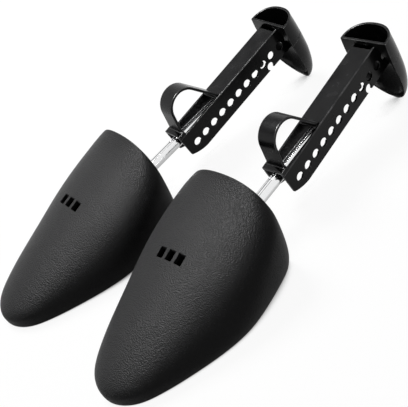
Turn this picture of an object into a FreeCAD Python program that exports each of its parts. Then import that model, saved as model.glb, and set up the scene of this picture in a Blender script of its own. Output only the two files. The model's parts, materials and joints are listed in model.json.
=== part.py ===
import FreeCAD, Part
import math
import os

# A pair of sprung shoe stretchers. Each has a hollow toe former, a slotted
# chromed tube with a compression spring inside, and a moulded arm with a row
# of holes, a finger loop and a heel cup. Lengths are millimetres, angles
# degrees. Toes point to -X, heels to +X and the floor is at Z = 0.

vec = FreeCAD.Vector

# Clearances and overrun
run_fit = 0.06          # radial, a piece that slides in a bore
free_gap = 0.25         # loose sliding gap round a peg
overrun = 5.0           # how far a cutting solid passes the face that it cuts

# The pair as it stands
pair_spacing = 88.2     # between the arms, measured over their first holes
pair_turn = 3.3         # each tree is turned this much, heels together
pair_stagger = 1.7      # the right tree stands this much further to the toe

# Arm, an inverted channel
arm_slope = 12.0
arm_width = 15.4
arm_height = 17.8
arm_wall = 1.7
arm_top = 1.8
arm_edge_round = 0.8
arm_front = 8.1         # channel ahead of the first hole
arm_front_height = 13.8
arm_sweep = 11.5        # run over which the lower edge comes down from the front
arm_sweep_sag = 0.7
hole_count = 12
hole_pitch = 8.0
hole_diameter = 5.2
hole_drop = 10.4        # hole centres below the top face
used_hole = 9
notch_diameter = 5.2
notch_behind = 3.7      # behind the hole in use
notch_drop = 15.8
plate_rear = 82.8       # the top plate ends here, just ahead of the heel

# Finger loop with its front collar
loop_width = 12.4
loop_strap = 1.7
loop_radius = 11.5
loop_middle = 9.3       # centre of the bow behind the first hole
loop_centre_height = 12.3
loop_front_lean = 12.0
loop_rear_lean = 29.7
loop_foot = 2.2
loop_seat = 0.6         # rear foot of the strap that stands over the open window
collar_length = 5.4
collar_height = 2.6
collar_room = 0.9       # tunnel under the collar, above the arm's top face

# Heel cup
heel_front = 85.3       # front of the rim behind the first hole
heel_rise = 2.7         # rim above the arm's top face
heel_drop = 49.4        # tip below the arm's top face
heel_half_width = 16.4
heel_depth = 14.5
heel_tip_back = 2.1     # tip behind the front of the rim
heel_bow = 2.8          # the front edges stand forward by this in the middle
heel_dish = 7.0         # hollow of the front face, an oval bowl
heel_dish_drop = 21.0   # middle of the bowl below the arm's top face
heel_dish_half_width = 15.4
heel_dish_half_height = 24.0
heel_wall = 1.5
heel_roundness = 2.25
heel_down_shares = (0.0, 0.07, 0.20, 0.38, 0.56, 0.73, 0.87, 0.955)
heel_width_shares = (1.0, 1.0, 1.0, 0.98, 0.92, 0.77, 0.545, 0.30)
heel_depth_shares = (1.0, 1.03, 1.08, 1.08, 1.0, 0.82, 0.57, 0.30)
heel_pocket_stations = 5

# Slotted tube and what is in it, along the tube from the lock pegs
tube_tilt = 5.2         # the tube comes up to the front of the arm by this angle
tube_diameter = 7.0
tube_wall = 0.7
tube_tail_wall = 1.6    # tube left behind the peg slots
slot_width = 2.6
slot_front = 77.0       # ends of the top slot ahead of the pegs
slot_rear = 22.0
stop_length = 14.0
stop_show = 2.2         # stop plug seen in the front end of the slot
spring_travel = 12.0

# Lock pegs and their carrier
peg_diameter = 2.4
peg_reach = 0.55        # peg tip in the groove of the arm's wall
peg_collar_diameter = 4.4
peg_collar_length = 0.8
peg_collar_gap = 0.6    # collar to the wall's inner face
peg_inner = 1.8         # inner end from the middle plane
peg_press = 0.9
groove_depth = 0.9
carrier_front = 6.0
carrier_rear = 2.6
seat_diameter = 2.6
seat_length = 3.0
shorter_holes = 1       # holes that the arm can be set shorter than drawn

# Springs
spring_wire = 0.8
spring_mean = 4.2
spring_turns = 33
peg_spring_wire = 0.35
peg_spring_mean = 1.9
peg_spring_turns = 3
gap_samples = 48        # points per turn when the gap between turns is measured

# Toe former, a shell open below
toe_rear = 37.5         # rear face ahead of the first hole
toe_length = 115.8
toe_half_width = 40.9
toe_height = 55.2
toe_wall = 2.4
toe_nose_wall = 5.0
toe_lip = 4.0           # rear wall set in from the rear edge
toe_rear_wall = 2.6
toe_rear_roundness = 2.3
toe_front_roundness = 2.0
toe_round_share = 0.5   # part of the length over which the section gets rounder
toe_along_shares = (0.0, 0.10, 0.25, 0.40, 0.55, 0.70, 0.85, 0.935, 0.975, 0.994)
toe_width_shares = (0.745, 0.925, 1.0, 1.0, 0.905, 0.76, 0.573, 0.407, 0.258, 0.127)
toe_height_shares = (1.0, 0.888, 0.783, 0.685, 0.576, 0.458, 0.326, 0.236, 0.181, 0.141)
# the widest line, and how deep the section would go below it if the floor didn't cut it
toe_edge_shares = (0.56, 0.47, 0.335, 0.20, 0.125, 0.11, 0.108, 0.107, 0.10, 0.09)
toe_under_shares = (1.41, 1.55, 1.82, 2.4, 3.0, 3.0, 2.8, 2.4, 1.7, 1.0)
toe_section_points = 20
boss_diameter = 12.0
boss_length = 32.0
boss_end = 3.0
rib_width = 2.4
tube_pin_diameter = 2.5
tube_pin_depth = 20.0   # behind the rear wall

# Vents in the toe's top
vent_count = 3
vent_length = 5.6
vent_width = 4.8
vent_pitch = 7.4
vent_forward = 45.9     # row of vents ahead of the toe's rear edge
vent_aside = 2.4        # middle of the row to one side of the toe's middle plane

peg_place = (used_hole - 1) * hole_pitch
channel_half = arm_width / 2 - arm_wall
tube_bore = tube_diameter - 2 * tube_wall
peg_slot = peg_diameter + 2 * free_gap
tube_rear = peg_slot / 2 + tube_tail_wall
stop_rear = slot_front - stop_show


def box(x0, x1, y0, y1, z0, z1):
    return Part.makeBox(x1 - x0, y1 - y0, z1 - z0, vec(x0, y0, z0))


def bar(diameter, x0, x1):
    return Part.makeCylinder(diameter / 2, x1 - x0, vec(x0, 0, 0), vec(1, 0, 0))


def cross_bar(diameter, y0, y1, x=0.0, z=0.0):
    return Part.makeCylinder(diameter / 2, y1 - y0, vec(x, y0, z), vec(0, 1, 0))


def spline(points, closed=False):
    curve = Part.BSplineCurve()
    steps = len(points) + 1 if closed else len(points)
    even = [float(i) for i in range(steps)]
    curve.interpolate(Points=points, PeriodicFlag=closed, Parameters=even)
    return curve.toShape()


def signed_power(value, power):
    return math.copysign(abs(value) ** power, value)


def prism(edges, width):
    face = Part.Face(Part.Wire(edges))
    face.translate(vec(0, -width / 2, 0))
    return face.extrude(vec(0, width, 0))


# Heel cup in the arm's frame
def heel_section(index, inset, lift=0.0):
    down = heel_down_shares[index]
    level = heel_rise - down * (heel_rise + heel_drop) + lift
    half = heel_half_width * heel_width_shares[index] - inset
    depth = heel_depth * heel_depth_shares[index] - 2 * inset
    front = heel_front_line(down) + inset
    power = 2 / heel_roundness
    back = []
    for step in range(-6, 7):
        turn = math.radians(step * 15)
        out = depth * signed_power(math.cos(turn), power)
        back.append(vec(front + out, half * signed_power(math.sin(turn), power), level))
    return Part.Wire([spline(back), Part.makeLine(back[-1], back[0])])


def heel_front_line(down):
    return heel_front + heel_tip_back * down - heel_bow * 4 * down * (1 - down)


def heel_bowl(grow):
    # an oval bowl that hollows the front face
    middle = (heel_rise + heel_dish_drop) / (heel_rise + heel_drop)
    bowl = FreeCAD.Matrix()
    bowl.scale(vec(heel_dish + grow, heel_dish_half_width + grow, heel_dish_half_height + grow))
    bowl.move(vec(heel_front_line(middle), 0, -heel_dish_drop))
    return Part.makeSphere(1).transformGeometry(bowl)


def heel_outside():
    rings = [heel_section(i, 0.0) for i in range(len(heel_down_shares))]
    tip = Part.Vertex(vec(heel_front + heel_tip_back, 0, -heel_drop))
    return Part.makeLoft(rings + [tip], True).cut(heel_bowl(0.0))


def heel_cup():
    rings = [heel_section(0, heel_wall, overrun)]
    rings += [heel_section(i, heel_wall) for i in range(heel_pocket_stations)]
    pocket = Part.makeLoft(rings, True).cut(heel_bowl(heel_wall))
    return heel_outside().cut(pocket)


# Arm in its own frame, X along the arm from the first hole, Z = 0 on its top face
def arm_outline(reach):
    top_front = vec(-arm_front, 0, 0)
    top_rear = vec(reach, 0, 0)
    low_rear = vec(reach, 0, -arm_height)
    low_front = vec(arm_sweep - arm_front, 0, -arm_height)
    corner = vec(-arm_front, 0, -arm_front_height)
    across = corner - low_front
    sag = vec(across.z, 0, -across.x).normalize() * arm_sweep_sag
    sweep = Part.Arc(low_front, (low_front + corner) * 0.5 - sag, corner)
    corners = [top_front, top_rear, low_rear, low_front]
    edges = [Part.makeLine(a, b) for a, b in zip(corners, corners[1:])]
    return edges + [sweep.toShape(), Part.makeLine(corner, top_front)]


def arm_channel():
    reach = heel_front + heel_dish + heel_wall
    body = prism(arm_outline(reach), arm_width)
    long_edges = []
    for edge in body.Edges:
        spot = edge.BoundBox
        if spot.XLength > plate_rear and spot.ZMin > -arm_top:
            long_edges.append(edge)
    body = body.makeFillet(arm_edge_round, long_edges)
    low = -arm_height - overrun
    body = body.cut(box(-arm_front - overrun, reach + overrun, -channel_half, channel_half, low, -arm_top))
    for start, end in ((-arm_front - overrun, window_rear), (plate_rear, reach + overrun)):
        body = body.cut(box(start, end, -channel_half, channel_half, -arm_top - overrun, overrun))
    side = arm_width / 2 + overrun
    for hole in range(hole_count):
        body = body.cut(cross_bar(hole_diameter, -side, side, hole * hole_pitch, -hole_drop))
    body = body.cut(cross_bar(notch_diameter, -side, side, peg_place + notch_behind, -notch_drop))
    # the pegs run in a shallow groove inside both walls
    last = peg_place + shorter_holes * hole_pitch
    half = peg_slot / 2
    deep = channel_half + groove_depth
    groove = box(-half, last + half, -deep, deep, -hole_drop - half, -hole_drop + half)
    return body.cut(groove).cut(heel_outside())


# Finger loop, a strap bent over the open front of the channel
def loop_path(radius, foot_level):
    centre = vec(loop_middle, 0, loop_centre_height)
    front_turn = math.radians(180 - loop_front_lean)
    rear_turn = math.radians(loop_rear_lean)
    front = centre + vec(math.cos(front_turn), 0, math.sin(front_turn)) * radius
    rear = centre + vec(math.cos(rear_turn), 0, math.sin(rear_turn)) * radius
    front_fall = (front.z - foot_level) * math.tan(math.radians(loop_front_lean))
    rear_run = (rear.z - foot_level) * math.tan(rear_turn)
    return (vec(front.x - front_fall, 0, foot_level), front,
            centre + vec(0, 0, radius), rear, vec(rear.x + rear_run, 0, foot_level))


# The open top beneath the loop ends under its rear foot
window_rear = loop_path(loop_radius - loop_strap, 0.0)[-1].x + loop_seat


def finger_loop():
    outer = loop_path(loop_radius, 0.0)
    inner = loop_path(loop_radius - loop_strap, 0.0)
    edges = [Part.makeLine(outer[0], outer[1]), Part.Arc(*outer[1:4]).toShape(),
             Part.makeLine(outer[3], outer[4]), Part.makeLine(outer[4], inner[4]),
             Part.makeLine(inner[4], inner[3]), Part.Arc(*inner[1:4][::-1]).toShape(),
             Part.makeLine(inner[1], inner[0]), Part.makeLine(inner[0], outer[0])]
    strap = prism(edges, loop_width)
    half = arm_width / 2
    front = -arm_front
    collar = box(front, front + collar_length, -half, half, 0, collar_height)
    foot = box(window_rear - loop_foot, window_rear, -channel_half, channel_half, -arm_top, 0)
    tunnel = box(front - overrun, front + collar_length + overrun,
                 -channel_half, channel_half, -overrun, collar_room)
    return strap.fuse([collar]).cut(tunnel).fuse([foot]).removeSplitter()


# Tube in its own frame, X along the tube to the heel, pegs at X = 0
def slide_tube(front):
    body = bar(tube_diameter, -front, tube_rear).cut(bar(tube_bore, -front - overrun, tube_rear + overrun))
    half = slot_width / 2
    slot = box(-slot_front + half, -slot_rear - half, -half, half, 0, tube_diameter)
    for end in (-slot_front + half, -slot_rear - half):
        slot = slot.fuse(Part.makeCylinder(half, tube_diameter, vec(end, 0, 0)))
    body = body.cut(slot)
    half = peg_slot / 2
    side = tube_diameter / 2 + overrun
    pegs = box(-spring_travel, 0, -side, side, -half, half)
    for end in (-spring_travel, 0):
        pegs = pegs.fuse(cross_bar(peg_slot, -side, side, end))
    return body.cut(pegs).cut(cross_bar(tube_pin_diameter, -side, side, tube_pin_spot(front)))


def tube_pin_spot(front):
    return -front + boss_length - tube_pin_depth


def spring_stop():
    return bar(tube_bore, -stop_rear - stop_length, -stop_rear)


def tube_pin(front):
    return cross_bar(tube_pin_diameter, -boss_diameter / 2, boss_diameter / 2, tube_pin_spot(front))


# The carrier slides in the tube and holds both pegs
def peg_carrier():
    width = tube_bore - 2 * run_fit
    body = bar(width, -carrier_front, carrier_rear)
    body = body.fuse(bar(seat_diameter, -carrier_front - seat_length, -carrier_front))
    return body.cut(cross_bar(peg_diameter + 2 * run_fit, -width, width))


def lock_peg():
    tip = channel_half + peg_reach
    collar_end = channel_half - peg_collar_gap
    shaft = cross_bar(peg_diameter, peg_inner, tip)
    collar = cross_bar(peg_collar_diameter, collar_end - peg_collar_length, collar_end)
    return shaft.fuse(collar).removeSplitter()


# A coil of round wire along X: each half turn is two arcs with matching tangents
def biarc(start, start_way, end, end_way):
    span = end - start
    ways = start_way + end_way
    spread = 2 * (1 - start_way.dot(end_way))
    across = span.dot(ways)
    reach = (math.sqrt(across ** 2 + spread * span.dot(span)) - across) / spread
    joint = (start + start_way * reach + end - end_way * reach) * 0.5
    arcs = []
    for a, b, knee in ((start, joint, start + start_way * reach), (joint, end, end - end_way * reach)):
        chord = (a + b) * 0.5
        half_turn = math.acos((knee - a).normalize().dot((b - knee).normalize())) / 2
        radius = reach / math.tan(half_turn)
        lift = (knee - chord).normalize() * (radius * (1 - math.cos(half_turn)))
        arcs.append(Part.Arc(a, chord + lift, b).toShape())
    return arcs


def coil(start, end, turns, mean, wire):
    pitch = (end - start - wire) / turns
    radius = mean / 2
    rise = pitch / (2 * math.pi)

    def spot(turn):
        return vec(start + wire / 2 + rise * turn, radius * math.cos(turn), radius * math.sin(turn))

    def way(turn):
        return vec(rise, -radius * math.sin(turn), radius * math.cos(turn)).normalize()

    arcs = []
    for half in range(2 * turns):
        a, b = half * math.pi, (half + 1) * math.pi
        arcs += biarc(spot(a), way(a), spot(b), way(b))
    ring = Part.Wire(Part.makeCircle(wire / 2, spot(0), way(0)))
    points = [spot(2 * math.pi * i / gap_samples) for i in range(2 * gap_samples + 1)]
    gap = min(a.distanceToPoint(b) for i, a in enumerate(points) for b in points[i + gap_samples // 2:])
    print("coil of", turns, "turns, least gap to itself", round(gap - wire, 3))
    return Part.Wire(arcs).makePipeShell([ring], True, False)


def main_spring():
    return coil(-stop_rear, -carrier_front, spring_turns, spring_mean, spring_wire)


def peg_spring():
    body = coil(-peg_inner, peg_inner, peg_spring_turns, peg_spring_mean, peg_spring_wire)
    body.rotate(vec(0, 0, 0), vec(0, 0, 1), 90)
    return body


# Toe former, X to the heel with its rear edge at X = 0 and the floor at Z = 0
def toe_share(shares, along):
    # between two stations the share changes evenly
    stations = list(zip(toe_along_shares, shares))
    for (start, a), (end, b) in zip(stations, stations[1:]):
        if along <= end:
            return a + (b - a) * (along - start) / (end - start)
    return shares[-1]


def toe_section(along, inset):
    half = toe_half_width * toe_share(toe_width_shares, along) - inset
    top = toe_height * toe_share(toe_height_shares, along) - inset
    edge = toe_height * toe_share(toe_edge_shares, along)
    under = edge * toe_share(toe_under_shares, along)
    blend = min(max(along, 0.0) / toe_round_share, 1.0)
    power = 2 / (toe_rear_roundness + (toe_front_roundness - toe_rear_roundness) * blend)
    points = []
    for step in range(toe_section_points):
        turn = 2 * math.pi * step / toe_section_points
        rise = top - edge if math.sin(turn) > 0 else under
        points.append(vec(-toe_length * along, half * signed_power(math.cos(turn), power),
                          edge + rise * signed_power(math.sin(turn), power)))
    return Part.Wire([spline(points, True)])


def toe_hollow():
    # from the rear wall to the last station that leaves a full nose wall
    start = (toe_lip + toe_rear_wall) / toe_length
    rings = [toe_section(start, toe_wall)]
    for share in toe_along_shares:
        if share > start and toe_length * (1 - share) > toe_nose_wall:
            rings.append(toe_section(share, toe_wall))
    return Part.makeLoft(rings, True)


def toe_former(tube_line, tube_front):
    rings = [toe_section(share, 0.0) for share in toe_along_shares]
    nose = Part.Vertex(vec(-toe_length, 0, toe_height * toe_edge_shares[-1]))
    body = Part.makeLoft(rings + [nose], True)
    below = box(-toe_length - overrun, overrun, -toe_half_width - overrun, toe_half_width + overrun,
                -toe_height, 0)
    body = body.cut(below)
    lip = Part.makeLoft([toe_section(a / toe_length, toe_wall) for a in (-overrun, 0.0, toe_lip)], True)
    hollow = toe_hollow()
    boss = bar(boss_diameter, -tube_front - boss_end, -tube_front + boss_length)
    boss.Placement = tube_line
    rib = box(-tube_front, -tube_front + boss_length, -rib_width / 2, rib_width / 2, 0, toe_height)
    rib.Placement = tube_line
    socket = bar(tube_diameter, -tube_front, 0)
    pin = tube_pin(tube_front)
    for piece in (socket, pin):
        piece.Placement = tube_line
    inside = boss.fuse(rib).common(hollow)
    body = body.cut(hollow).cut(lip).fuse(inside)
    for vent in vents():
        body = body.cut(vent)
    return body.cut(socket).cut(pin)


def vents():
    cuts = []
    for number in range(vent_count):
        shift = vent_aside + (number - (vent_count - 1) / 2) * vent_pitch
        slot = box(-vent_length / 2, vent_length / 2, -vent_width / 2, vent_width / 2, toe_height / 2, toe_height)
        slot.translate(vec(-vent_forward, shift, 0))
        cuts.append(slot)
    return cuts


# Frames of one tree: the arm leans back so far that its heel tip meets the floor
lean = FreeCAD.Rotation(vec(0, 1, 0), -arm_slope)
leaning_heel = heel_outside()
leaning_heel.Placement = FreeCAD.Placement(vec(0, 0, 0), lean)
arm_lift = -leaning_heel.optimalBoundingBox(False, False).ZMin
arm_frame = FreeCAD.Placement(vec(0, 0, arm_lift), lean)
peg_frame = FreeCAD.Placement(vec(peg_place, 0, -hole_drop), FreeCAD.Rotation(vec(0, 1, 0), tube_tilt))
tube_frame = arm_frame.multiply(peg_frame)
toe_frame = FreeCAD.Placement(vec(-toe_rear, 0, 0), FreeCAD.Rotation())

# The tube runs from the pegs to the end of its socket in the toe
tube_slope = math.radians(arm_slope - tube_tilt)
to_wall = (tube_frame.Base.x + toe_rear + toe_lip + toe_rear_wall) / math.cos(tube_slope)
tube_front = to_wall + boss_length


def tree_pieces():
    tube_line = toe_frame.inverse().multiply(tube_frame)
    far_peg = lock_peg()
    near_peg = lock_peg()
    near_peg.rotate(vec(0, 0, 0), vec(0, 0, 1), 180)
    framed = ((toe_frame, {"toe_former": toe_former(tube_line, tube_front)}),
              (tube_frame, {"slide_tube": slide_tube(tube_front), "tube_pin": tube_pin(tube_front),
                            "spring_stop": spring_stop(), "main_spring": main_spring(),
                            "peg_carrier": peg_carrier(), "peg_spring": peg_spring(),
                            "near_peg": near_peg, "far_peg": far_peg}),
              (arm_frame, {"arm_channel": arm_channel(), "finger_loop": finger_loop(),
                           "heel_cup": heel_cup()}))
    pieces = {}
    for frame, group in framed:
        for name, shape in group.items():
            shape.Placement = frame.multiply(shape.Placement)
            pieces[name] = shape
    return pieces


def tree_frame(side):
    turn = FreeCAD.Rotation(vec(0, 0, 1), -side * pair_turn)
    return FreeCAD.Placement(vec(-side * pair_stagger / 2, side * pair_spacing / 2, 0), turn)


tree = tree_pieces()
placed = {}
for side_name, side in (("left", -1), ("right", 1)):
    for name, shape in tree.items():
        copy = shape.copy()
        copy.Placement = tree_frame(side).multiply(copy.Placement)
        placed[side_name + "_" + name] = copy

# The origin is under the middle of the pair's box
whole = Part.makeCompound(list(placed.values())).optimalBoundingBox(False, False)
centre = vec((whole.XMin + whole.XMax) / 2, (whole.YMin + whole.YMax) / 2, 0)

os.makedirs("parts", exist_ok=True)
for name, shape in placed.items():
    shape.translate(-centre)
    shape.exportStep("parts/" + name + ".step")
    print(name, len(shape.Solids), "solid", round(shape.Volume, 2), "mm3", "valid" if shape.isValid() else "INVALID")
print("pair", [round(v, 2) for v in (whole.XLength, whole.YLength, whole.ZLength)], "lift", round(arm_lift, 2),
      "middle", round(centre.x, 3), round(centre.y, 3))
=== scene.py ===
import bmesh
import bpy
import json
import math
from mathutils import Matrix, Vector
from mathutils.bvhtree import BVHTree


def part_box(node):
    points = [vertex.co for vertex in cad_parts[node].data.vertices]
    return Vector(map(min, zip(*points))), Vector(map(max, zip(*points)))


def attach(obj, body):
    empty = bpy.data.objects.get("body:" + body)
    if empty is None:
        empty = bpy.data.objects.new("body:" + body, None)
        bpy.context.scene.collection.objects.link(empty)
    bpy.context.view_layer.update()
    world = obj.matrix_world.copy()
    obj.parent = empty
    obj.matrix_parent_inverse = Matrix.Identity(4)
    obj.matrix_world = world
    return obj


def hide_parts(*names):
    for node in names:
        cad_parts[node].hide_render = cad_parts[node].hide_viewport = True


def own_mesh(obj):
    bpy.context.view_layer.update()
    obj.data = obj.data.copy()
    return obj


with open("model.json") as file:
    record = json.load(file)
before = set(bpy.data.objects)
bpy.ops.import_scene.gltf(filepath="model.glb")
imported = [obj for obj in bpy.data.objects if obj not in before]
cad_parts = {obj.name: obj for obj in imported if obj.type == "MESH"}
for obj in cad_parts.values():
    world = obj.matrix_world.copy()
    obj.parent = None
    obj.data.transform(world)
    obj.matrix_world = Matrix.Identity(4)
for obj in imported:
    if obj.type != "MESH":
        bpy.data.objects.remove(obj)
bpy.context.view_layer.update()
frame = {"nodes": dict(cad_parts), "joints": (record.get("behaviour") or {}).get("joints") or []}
scene = bpy.context.scene
scene.view_settings.view_transform = "Standard"
sides = ("left", "right")
print("frame loaded:", len(frame["nodes"]), "nodes")


# a line of one tree with its zero between the lock pegs, X to the heel and Z up
def slideLine(side, slide):
    boxes = [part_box(side + "_" + peg) for peg in ("near_peg", "far_peg")]
    pegs = sum((Vector(low) + Vector(high) for low, high in boxes), Vector()) / 4
    along = Vector([j["axis"] for j in frame["joints"] if j["name"] == side + slide][0]).normalized()
    along = along * math.copysign(1, along.x)
    across = Vector((0, 0, 1)).cross(along).normalized()
    turn = Matrix((along, across, along.cross(across))).transposed()
    return Matrix.Translation(pegs) @ turn.to_4x4()


tubeLines = {side: slideLine(side, "_spring_slide") for side in sides}
armLines = {side: slideLine(side, "_length_slide") for side in sides}


# where a noise has most of its values
noiseSpread = (0.3, 0.7)


# node helpers for the finishes
def newFinish(name):
    finish = bpy.data.materials.new(name)
    finish.use_nodes = True
    nodes = finish.node_tree.nodes
    return finish, nodes, finish.node_tree.links, nodes["Principled BSDF"]


def addNode(nodes, kind, **values):
    node = nodes.new(kind)
    for key, value in values.items():
        if hasattr(node, key):
            setattr(node, key, value)
        else:
            node.inputs[key].default_value = value
    return node


def texture(nodes, links, kind, place, **values):
    node = addNode(nodes, kind, **values)
    links.new(place, node.inputs["Vector"])
    return node


def ramp(nodes, links, source, low, high, start=0.0, end=1.0):
    node = addNode(nodes, "ShaderNodeMapRange")
    node.inputs["From Min"].default_value = start
    node.inputs["From Max"].default_value = end
    node.inputs["To Min"].default_value = low
    node.inputs["To Max"].default_value = high
    links.new(source, node.inputs["Value"])
    return node.outputs["Result"]


def tint(nodes, links, source, dark, light):
    node = addNode(nodes, "ShaderNodeMix", data_type="RGBA")
    links.new(source, node.inputs["Factor"])
    node.inputs[6].default_value = dark
    node.inputs[7].default_value = light
    return node.outputs[2]


# pebbled charcoal plastic of the toe formers
toeFinish = {"dark": (0.037, 0.037, 0.038, 1), "light": (0.045, 0.045, 0.046, 1), "broad": 65.0,
             "pebble": 1500.0, "round": 0.35, "warp": 1700.0, "shift": 0.0003,
             "bump": 1.0, "depth": 0.00022, "smooth": 0.32, "rough": 0.44, "hollow": 0.7, "gloss": 0.055}


def makeToePlastic():
    finish, nodes, links, shader = newFinish("toePlastic")
    place = addNode(nodes, "ShaderNodeTexCoord").outputs["Object"]
    warp = texture(nodes, links, "ShaderNodeTexNoise", place, Scale=toeFinish["warp"], Detail=2.0)
    shift = addNode(nodes, "ShaderNodeVectorMath", operation="MULTIPLY_ADD")
    shift.inputs[1].default_value = (toeFinish["shift"],) * 3
    links.new(warp.outputs["Color"], shift.inputs[0])
    links.new(place, shift.inputs[2])
    pebble = texture(nodes, links, "ShaderNodeTexVoronoi", shift.outputs["Vector"], feature="SMOOTH_F1",
                     Scale=toeFinish["pebble"], Smoothness=toeFinish["round"])
    broad = texture(nodes, links, "ShaderNodeTexNoise", place, Scale=toeFinish["broad"], Detail=3.0)
    links.new(tint(nodes, links, broad.outputs["Fac"], toeFinish["dark"], toeFinish["light"]),
              shader.inputs["Base Color"])
    links.new(ramp(nodes, links, pebble.outputs["Distance"], toeFinish["smooth"], toeFinish["rough"],
                   end=toeFinish["hollow"]), shader.inputs["Roughness"])
    bump = addNode(nodes, "ShaderNodeBump", invert=True, Strength=toeFinish["bump"],
                   Distance=toeFinish["depth"])
    links.new(pebble.outputs["Distance"], bump.inputs["Height"])
    links.new(bump.outputs["Normal"], shader.inputs["Normal"])
    shader.inputs["Specular IOR Level"].default_value = toeFinish["gloss"]
    return finish


# satin black of the arm, the loop and the heel, with a painted highlight that lightens the edges in uneven
# patches, and the edges are glossier there too
armFinish = {"dark": (0.010, 0.010, 0.0105, 1), "light": (0.016, 0.016, 0.0165, 1), "broad": 90.0,
             "edgeHighlight": (0.03, 0.03, 0.031, 1), "uneven": 160.0, "patches": (0.35, 0.6), "leastHighlight": 0.3,
             "polish": 0.6, "grain": 2600.0, "bump": 0.12, "depth": 0.00004,
             "smooth": 0.20, "rough": 0.30, "gloss": 0.155}


def makeArmPlastic():
    finish, nodes, links, shader = newFinish("armPlastic")
    place = addNode(nodes, "ShaderNodeTexCoord").outputs["Object"]
    broad = texture(nodes, links, "ShaderNodeTexNoise", place, Scale=armFinish["broad"], Detail=4.0)
    grain = texture(nodes, links, "ShaderNodeTexNoise", place, Scale=armFinish["grain"], Detail=2.0)
    body = tint(nodes, links, broad.outputs["Fac"], armFinish["dark"], armFinish["light"])
    uneven = texture(nodes, links, "ShaderNodeTexNoise", place, Scale=armFinish["uneven"], Detail=3.0)
    edge = addNode(nodes, "ShaderNodeMath", operation="MULTIPLY")
    marked = addNode(nodes, "ShaderNodeAttribute", attribute_name="edge")
    links.new(marked.outputs["Fac"], edge.inputs[0])
    links.new(ramp(nodes, links, uneven.outputs["Fac"], armFinish["leastHighlight"], 1.0, *armFinish["patches"]),
              edge.inputs[1])
    # painted highlight: the marked edges are tinted lighter, in uneven patches
    highlighted = tint(nodes, links, edge.outputs[0], armFinish["dark"], armFinish["edgeHighlight"])
    links.new(body, highlighted.node.inputs[6])
    links.new(highlighted, shader.inputs["Base Color"])
    links.new(ramp(nodes, links, broad.outputs["Fac"], armFinish["smooth"], armFinish["rough"], *noiseSpread),
              shader.inputs["Roughness"])
    bump = addNode(nodes, "ShaderNodeBump", Strength=armFinish["bump"], Distance=armFinish["depth"])
    links.new(grain.outputs["Fac"], bump.inputs["Height"])
    links.new(bump.outputs["Normal"], shader.inputs["Normal"])
    shader.inputs["Specular IOR Level"].default_value = armFinish["gloss"]
    links.new(ramp(nodes, links, edge.outputs[0], armFinish["gloss"], armFinish["polish"]),
              shader.inputs["Specular IOR Level"])
    return finish


# metals, with fine mottling and smudges
metalFinishes = {
    "tubeChrome": {"dark": (0.80, 0.805, 0.81, 1), "light": (0.86, 0.862, 0.865, 1), "smudge": 130.0,
                   "rough": (0.05, 0.14), "metal": 1.0},
    "springWire": {"dark": (0.50, 0.50, 0.51, 1), "light": (0.72, 0.72, 0.73, 1), "smudge": 700.0,
                   "rough": (0.18, 0.32), "metal": 1.0},
    "pinSteel": {"dark": (0.40, 0.40, 0.41, 1), "light": (0.56, 0.56, 0.57, 1), "smudge": 900.0,
                 "rough": (0.28, 0.42), "metal": 1.0},
    "pegBlack": {"dark": (0.012, 0.012, 0.012, 1), "light": (0.03, 0.03, 0.031, 1), "smudge": 800.0,
                 "rough": (0.30, 0.45), "metal": 0.6}}


def makeMetal(name):
    values = metalFinishes[name]
    finish, nodes, links, shader = newFinish(name)
    place = addNode(nodes, "ShaderNodeTexCoord").outputs["Object"]
    smudge = texture(nodes, links, "ShaderNodeTexNoise", place, Scale=values["smudge"], Detail=4.0)
    links.new(tint(nodes, links, smudge.outputs["Fac"], values["dark"], values["light"]),
              shader.inputs["Base Color"])
    links.new(ramp(nodes, links, smudge.outputs["Fac"], *values["rough"], *noiseSpread),
              shader.inputs["Roughness"])
    shader.inputs["Metallic"].default_value = values["metal"]
    return finish


armPlastic = makeArmPlastic()
finishes = {"toe_plastic": makeToePlastic(), "arm_plastic": armPlastic, "inner_plastic": armPlastic,
            "chrome": makeMetal("tubeChrome"), "spring_steel": makeMetal("springWire"),
            "pin_steel": makeMetal("pinSteel"), "peg_metal": makeMetal("pegBlack")}
print("finishes ready")


# a finished piece from a bmesh, on its body and in its slot
def addPiece(name, bm, body, slot, node):
    for face in bm.faces:
        face.smooth = True
    mesh = bpy.data.meshes.new(name)
    bm.to_mesh(mesh)
    bm.free()
    piece = bpy.data.objects.new(name, mesh)
    scene.collection.objects.link(piece)
    mesh.materials.append(finishes[slot])
    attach(piece, body)
    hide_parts(node)
    return piece


# how the crisp edges of each moulding are eased, metres and degrees
easing = {"toe_former": {"round": 0.00035, "steps": 3, "crisp": 50, "body": "toe", "slot": "toe_plastic"},
          "slide_tube": {"round": 0.00012, "steps": 2, "crisp": 50, "body": "toe", "slot": "chrome"},
          "arm_channel": {"round": 0.00025, "steps": 3, "crisp": 50, "body": "arm", "slot": "arm_plastic"},
          "finger_loop": {"round": 0.00045, "steps": 3, "crisp": 50, "body": "arm", "slot": "arm_plastic"},
          "heel_cup": {"round": 0.00035, "steps": 3, "crisp": 45, "body": "arm", "slot": "arm_plastic"},
          "near_peg": {"round": 0.0002, "steps": 3, "crisp": 50, "body": "near_peg", "slot": "peg_metal"},
          "far_peg": {"round": 0.0002, "steps": 3, "crisp": 50, "body": "far_peg", "slot": "peg_metal"}}
merge = {"weld": 0.000002, "flat": 0.05}

# fine parting groove round the back of the heel, metres, from the lock pegs
parting = {"level": -0.0019, "half": 0.0004, "deep": 0.0004, "middle": 0.0275, "facing": 0.3}


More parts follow.
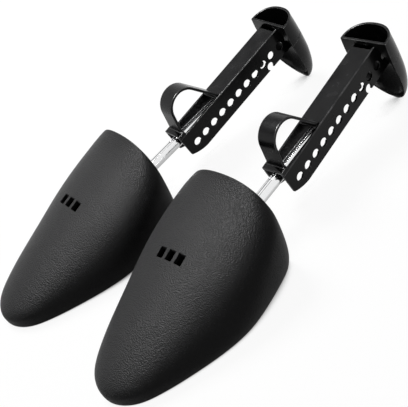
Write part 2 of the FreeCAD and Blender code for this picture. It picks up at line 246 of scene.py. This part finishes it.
def scoreHeel(bm, line):
    back = line.inverted()
    up = line.to_3x3() @ Vector((0, 0, 1))
    for step in (-1, 0, 1):
        spot = line @ Vector((0, 0, parting["level"] + step * parting["half"]))
        bmesh.ops.bisect_plane(bm, geom=bm.verts[:] + bm.edges[:] + bm.faces[:], dist=merge["weld"],
                               plane_co=spot, plane_no=up)
    bm.normal_update()
    for vert in bm.verts:
        place = back @ vert.co
        out = Vector((place.x - parting["middle"], place.y, 0))
        facing = back.to_3x3() @ vert.normal
        outer = facing.dot(out.normalized()) > parting["facing"] and facing.x > -parting["facing"]
        if outer and abs(place.z - parting["level"]) < merge["weld"]:
            vert.co -= vert.normal * parting["deep"]


# how far a face of the arm leans up and aside where it counts as an edge
edgeLean = 0.3


# marks the faces that get the painted edge highlight: eased rims, and the long rounds along the top of the
# arm
def markHighlightEdges(bm, line, eased):
    edge = bm.loops.layers.float.new("edge")
    back = line.inverted().to_3x3()
    bm.normal_update()
    marked = set(eased)
    for face in bm.faces:
        facing = back @ face.normal
        if face in marked or (facing.z > edgeLean and abs(facing.y) > edgeLean):
            for loop in face.loops:
                loop[edge] = 1.0


def easedCopy(side, nodeName):
    ease = easing[nodeName]
    node = side + "_" + nodeName
    bm = bmesh.new()
    bm.from_mesh(frame["nodes"][node].data)
    bmesh.ops.remove_doubles(bm, verts=bm.verts, dist=merge["weld"])
    bmesh.ops.dissolve_limit(bm, angle_limit=math.radians(merge["flat"]), verts=bm.verts, edges=bm.edges)
    if nodeName == "heel_cup":
        scoreHeel(bm, armLines[side])
    solid = BVHTree.FromBMesh(bm)
    sharp = math.radians(ease["crisp"])
    crisp = [e for e in bm.edges if len(e.link_faces) == 2 and e.calc_face_angle() > sharp]
    eased = bmesh.ops.bevel(bm, geom=crisp, offset=ease["round"], segments=ease["steps"], profile=0.5,
                            affect="EDGES", clamp_overlap=False, material=-1)["faces"]
    # corners that the easing threw wide go back to the solid
    for vert in bm.verts:
        spot, _, _, wide = solid.find_nearest(vert.co)
        if wide > ease["round"] / 2:
            vert.co = spot
    # the black mouldings get the faces of their painted edge highlight marked
    if ease["slot"] == "arm_plastic":
        markHighlightEdges(bm, armLines[side], eased if nodeName != "arm_channel" else [])
    bmesh.ops.dissolve_degenerate(bm, dist=merge["weld"], edges=bm.edges)
    piece = addPiece(node + "_eased", bm, side + "_" + ease["body"], ease["slot"], node)
    even = piece.modifiers.new("even", "WEIGHTED_NORMAL")
    even.keep_sharp = True


for side in sides:
    for nodeName in easing:
        easedCopy(side, nodeName)
    print(side, "mouldings eased")

# springs, metres along their own line: the long one pushes the toe, two short halves push the pegs
springs = {"main_spring": {"start": -0.0748, "end": -0.0060, "wire": 0.0008, "mean": 0.0042,
                           "turns": 54, "closed": 1.5, "steps": 20, "corners": 10, "travel": 0.012},
           "peg_spring": {"start": 0.0, "end": 0.0018, "wire": 0.00035, "mean": 0.0019,
                          "turns": 1.5, "closed": 0.5, "steps": 20, "corners": 8, "travel": 0.0009}}


def woundWire(spring, line):
    bm = bmesh.new()
    first = Matrix.Translation((spring["start"] + spring["wire"] / 2, spring["mean"] / 2, 0))
    ring = bmesh.ops.create_circle(bm, segments=spring["corners"], radius=spring["wire"] / 2,
                                   matrix=first)["verts"]
    rings = [list({edge for vert in ring for edge in vert.link_edges})]
    ring = ring + rings[0]
    endRun = 2 * spring["closed"] * spring["wire"]
    pitch = (spring["end"] - spring["start"] - spring["wire"] - endRun) / spring["turns"]
    closed = (spring["closed"], spring["wire"])
    for turns, rise in (closed, (spring["turns"], pitch), closed):
        steps = round(turns * spring["steps"])
        ring = bmesh.ops.spin(bm, geom=ring, cent=(0, 0, 0), axis=(1, 0, 0),
                              dvec=(rise / spring["steps"], 0, 0), angle=2 * math.pi * turns,
                              steps=steps)["geom_last"]
    rings.append([edge for edge in ring if isinstance(edge, bmesh.types.BMEdge)])
    for edges in rings:
        bmesh.ops.contextual_create(bm, geom=edges)
    bmesh.ops.recalc_face_normals(bm, faces=bm.faces)
    bm.transform(line)
    return bm


def addSpring(side, node, name, line, body):
    spring = springs[node]
    wire = woundWire(spring, line)
    piece = addPiece(side + "_" + name, wire, side + "_" + body, "spring_steel", side + "_" + node)
    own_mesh(piece)


for side in sides:
    addSpring(side, "main_spring", "main_spring_wire", tubeLines[side], "toe")
    for half, turn in (("near", -90), ("far", 90)):
        line = tubeLines[side] @ Matrix.Rotation(math.radians(turn), 4, "Z")
        addSpring(side, "peg_spring", "peg_spring_" + half, line, "carriage")
print("springs wound")

# inner pieces keep their solids and get a finish
innerPieces = {"tube_pin": "pin_steel", "spring_stop": "pin_steel", "peg_carrier": "inner_plastic"}
for side in sides:
    for nodeName, slot in innerPieces.items():
        solid = frame["nodes"][side + "_" + nodeName]
        solid.data.materials.clear()
        solid.data.materials.append(finishes[slot])

# floor, light and camera, metres and degrees
stage = {"floor": 6.0, "matte": 0.9, "white": 1.0, "shade": 0.07, "glow": 0.94, "sky": 0.066,
         "nook": 0.08, "shut": 0.12, "clear": 0.45, "mirror": 1.0, "heart": (0, 0, 0.02),
         "camera": (-0.180583, -0.38643, 0.321005), "aim": (50.3751, 22.0288, -41.5756),
         "lens": 80.193, "sensor": 36.0, "nearest": 0.01}


def seenRay(nodes, links):
    path = addNode(nodes, "ShaderNodeLightPath")
    seen = path.outputs["Is Camera Ray"]
    for other in ("Is Glossy Ray", "Is Transmission Ray"):
        both = addNode(nodes, "ShaderNodeMath", operation="MAXIMUM")
        links.new(seen, both.inputs[0])
        links.new(path.outputs[other], both.inputs[1])
        seen = both.outputs[0]
    return seen


def addStage(name, bm, finish):
    mesh = bpy.data.meshes.new(name)
    bm.to_mesh(mesh)
    bm.free()
    thing = bpy.data.objects.new(name, mesh)
    scene.collection.objects.link(thing)
    mesh.materials.append(finish)
    return thing


# white where it is open to the room, with painted shade under the hollow toes, and a painted darker
# reflection of the floor close to the trees
def makeFloor():
    finish, nodes, links, shader = newFinish("floorWhite")
    shader.inputs["Base Color"].default_value = (stage["shade"],) * 3 + (1,)
    shader.inputs["Roughness"].default_value = stage["matte"]
    shader.inputs["Specular IOR Level"].default_value = 0.0
    shader.inputs["Emission Color"].default_value = (1, 1, 1, 1)
    room = addNode(nodes, "ShaderNodeAmbientOcclusion", Distance=stage["nook"])
    glow = addNode(nodes, "ShaderNodeMath", operation="MULTIPLY")
    links.new(ramp(nodes, links, seenRay(nodes, links), 0.0, stage["glow"]), glow.inputs[0])
    # painted shade: the glow fades where the trees stand close over the floor
    clear = ramp(nodes, links, room.outputs["AO"], 0.0, 1.0, stage["shut"], stage["clear"])
    gloss = addNode(nodes, "ShaderNodeLightPath").outputs["Is Glossy Ray"]
    links.new(ramp(nodes, links, gloss, stage["clear"], stage["mirror"]), clear.node.inputs["From Max"])
    links.new(clear, glow.inputs[1])
    links.new(glow.outputs[0], shader.inputs["Emission Strength"])
    bm = bmesh.new()
    bmesh.ops.create_grid(bm, x_segments=1, y_segments=1, size=stage["floor"] / 2)
    addStage("floor", bm, finish)


# dark strips overhead that only reflections show: middle and half width, degrees from the near level
strips = {"places": ((92, 7), (137, 7)), "dark": 0.05}


def makeSky():
    world = bpy.data.worlds.new("studio")
    scene.world = world
    world.use_nodes = True
    nodes, links = world.node_tree.nodes, world.node_tree.links
    background = nodes["Background"]
    background.inputs["Color"].default_value = (1, 1, 1, 1)
    place = addNode(nodes, "ShaderNodeTexCoord").outputs["Generated"]
    apart = addNode(nodes, "ShaderNodeSeparateXYZ")
    links.new(place, apart.inputs[0])
    back = addNode(nodes, "ShaderNodeMath", operation="MULTIPLY")
    back.inputs[1].default_value = -1.0
    links.new(apart.outputs["Y"], back.inputs[0])
    angle = addNode(nodes, "ShaderNodeMath", operation="ARCTAN2")
    links.new(apart.outputs["Z"], angle.inputs[0])
    links.new(back.outputs[0], angle.inputs[1])
    light = ramp(nodes, links, seenRay(nodes, links), stage["sky"], stage["white"])
    gloss = addNode(nodes, "ShaderNodeLightPath").outputs["Is Glossy Ray"]
    dark = ramp(nodes, links, gloss, 1.0, strips["dark"])
    for middle, half in strips["places"]:
        off = addNode(nodes, "ShaderNodeMath", operation="COMPARE")
        off.inputs[1].default_value = math.radians(middle)
        off.inputs[2].default_value = math.radians(half)
        links.new(angle.outputs[0], off.inputs[0])
        strip = ramp(nodes, links, off.outputs[0], 1.0, 1.0)
        links.new(dark, strip.node.inputs["To Max"])
        dim = addNode(nodes, "ShaderNodeMath", operation="MULTIPLY")
        links.new(strip, dim.inputs[0])
        links.new(light, dim.inputs[1])
        light = dim.outputs[0]
    links.new(light, background.inputs["Strength"])


# dark sheets on the floor by the heels that only reflections show, a painted reflection of the shade under
# the arms, metres from the lock pegs
shadeSheets = {"low": (-0.020, -0.004), "high": (0.030, 0.024), "height": 0.0005, "black": (0.01, 0.01, 0.01, 1)}


def makeShadeSheets():
    finish, nodes, links, shader = newFinish("matBlack")
    shader.inputs["Base Color"].default_value = shadeSheets["black"]
    shader.inputs["Roughness"].default_value = stage["matte"]
    low, high = shadeSheets["low"], shadeSheets["high"]
    for side in sides:
        spot = armLines[side].translation
        bm = bmesh.new()
        bmesh.ops.create_grid(bm, x_segments=1, y_segments=1, size=0.5)
        bmesh.ops.scale(bm, vec=(high[0] - low[0], high[1] - low[1], 1), verts=bm.verts)
        middle = [spot[n] + (low[n] + high[n]) / 2 for n in (0, 1)]
        bm.transform(Matrix.Translation((middle[0], middle[1], shadeSheets["height"])))
        # painted shade in reflections: black sheets that only gloss sees
        sheet = addStage(side + "_mat", bm, finish)
        sheet.visible_camera = sheet.visible_diffuse = sheet.visible_shadow = sheet.visible_transmission = False


# the key lamp lights the surfaces, and the sheen lamp is seen only in their gloss; watts
lamps = {"key": {"spot": (0.10, 0.60, 0.975), "size": 0.5, "power": 13.0, "shines": False},
         "sheen": {"spot": (-0.20, 0.16, 1.12), "size": 0.50, "power": 53.0, "shines": True}}


def makeLamp(name):
    values = lamps[name]
    light = bpy.data.lights.new(name, "AREA")
    light.size = values["size"]
    light.energy = values["power"]
    lamp = bpy.data.objects.new(name, light)
    lamp.location = values["spot"]
    lamp.rotation_euler = (Vector(stage["heart"]) - lamp.location).to_track_quat("-Z", "Y").to_euler()
    lamp.visible_glossy = values["shines"]
    lamp.visible_diffuse = not values["shines"]
    scene.collection.objects.link(lamp)


def makeCamera():
    camera = bpy.data.objects.new("camera", bpy.data.cameras.new("camera"))
    camera.data.sensor_fit = "HORIZONTAL"
    camera.data.sensor_width = stage["sensor"]
    camera.data.lens = stage["lens"]
    camera.data.clip_start = stage["nearest"]
    camera.location = stage["camera"]
    camera.rotation_euler = [math.radians(a) for a in stage["aim"]]
    scene.collection.objects.link(camera)
    scene.camera = camera


makeFloor()
makeSky()
makeShadeSheets()
for name in lamps:
    makeLamp(name)
makeCamera()
print("stage set")
